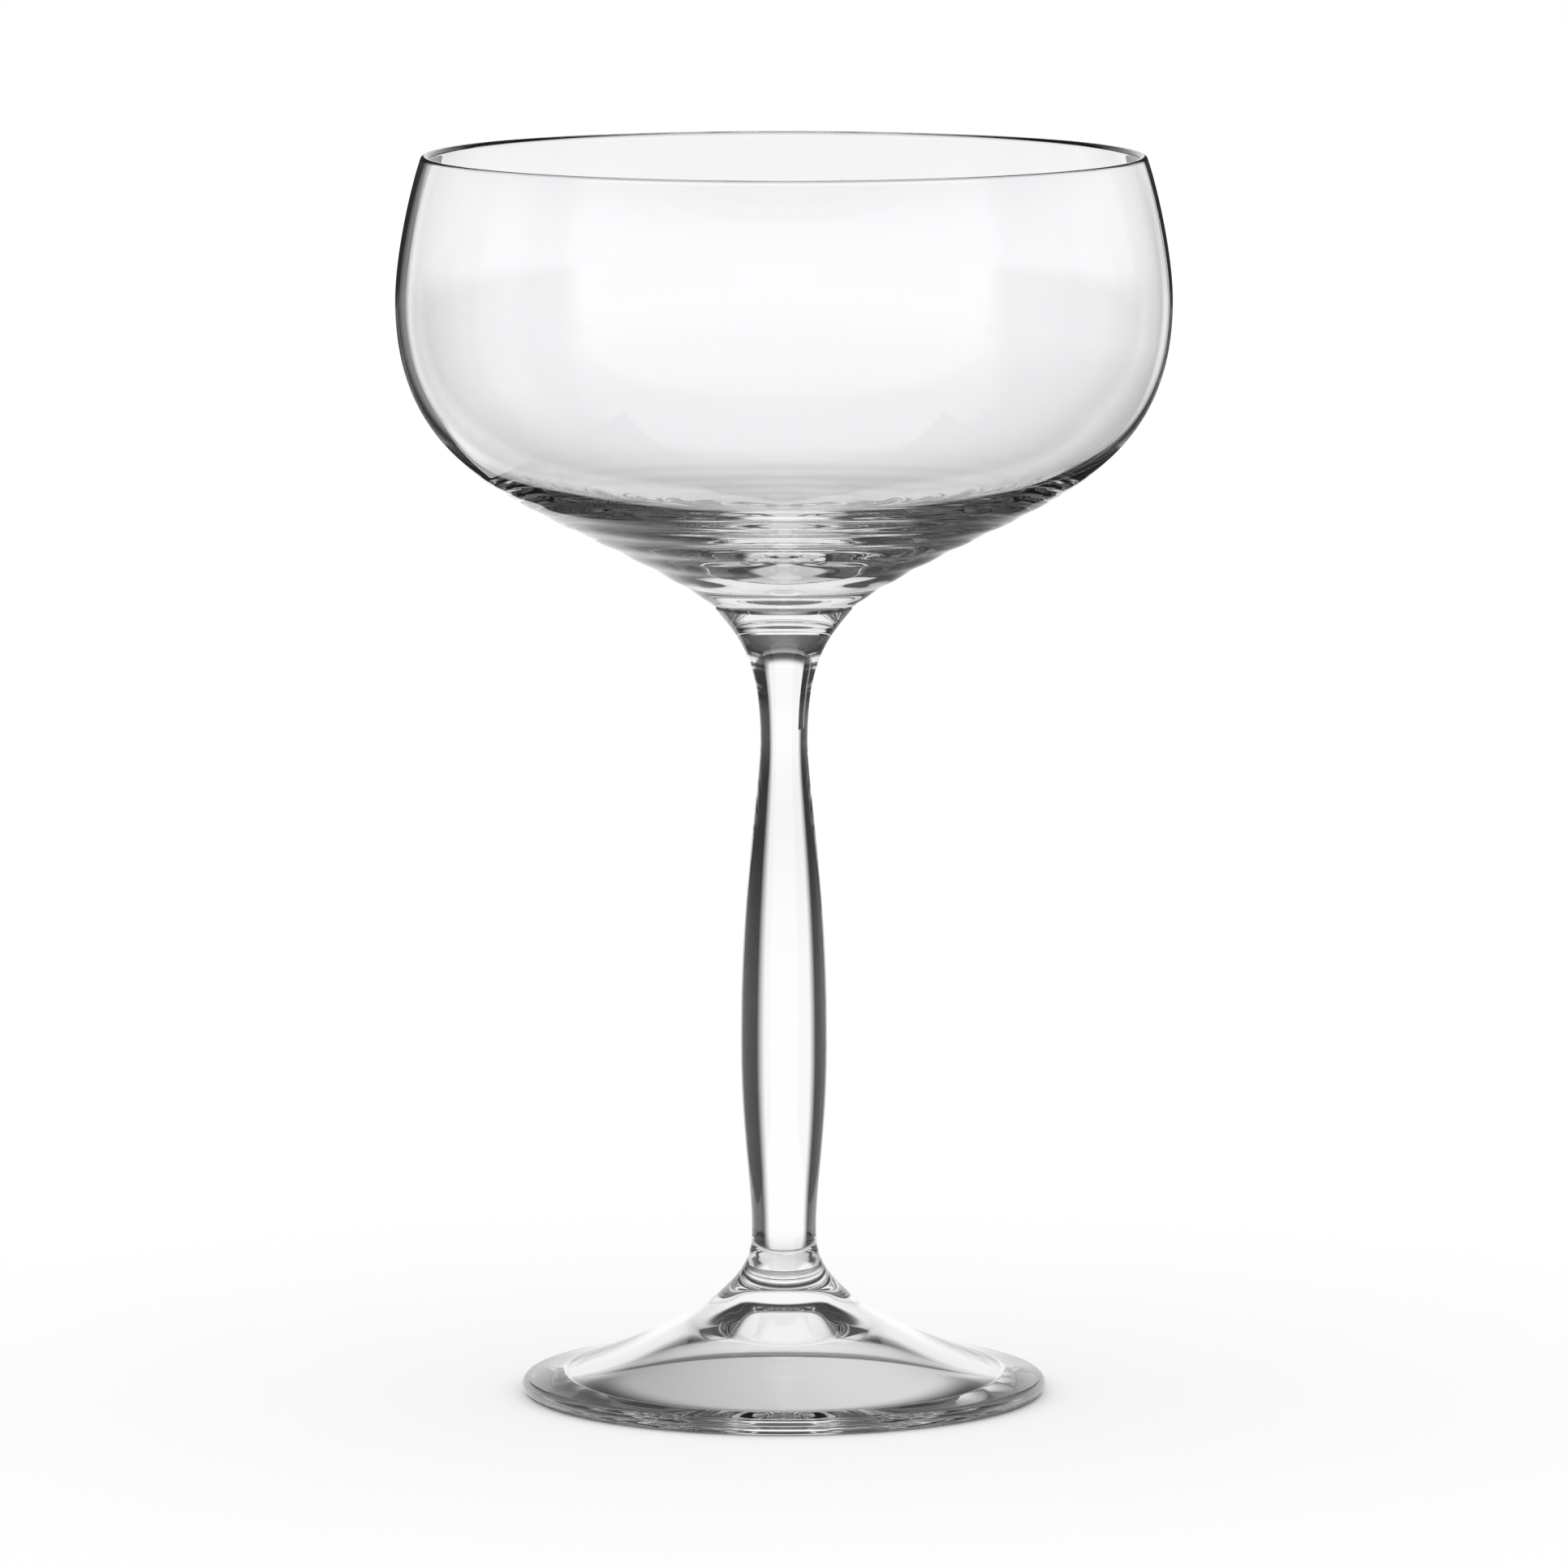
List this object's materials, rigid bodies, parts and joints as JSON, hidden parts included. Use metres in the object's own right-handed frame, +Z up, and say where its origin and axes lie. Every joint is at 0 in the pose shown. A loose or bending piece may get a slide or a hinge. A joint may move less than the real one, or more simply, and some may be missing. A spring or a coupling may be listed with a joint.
{
  "type": "coupe glass",
  "caption": "Clear stemmed coupe glass for drinks: a wide shallow bowl with a thin lip and a thick base, fused to a waisted solid stem on a round foot.",
  "frame": {"origin": "middle of the foot's underside, on the plane that the glass stands on", "axes": "+Z up along the axis that all three pieces are turned about; X and Y are level and alike"},
  "size_m": [0.098, 0.098, 0.1578],
  "materials": {
    "clear_glass": "clear, fire-polished"
  },
  "bodies": {
    "root": {"foot": "clear_glass", "stem": "clear_glass", "bowl": "clear_glass"}
  },
  "joints": []
}
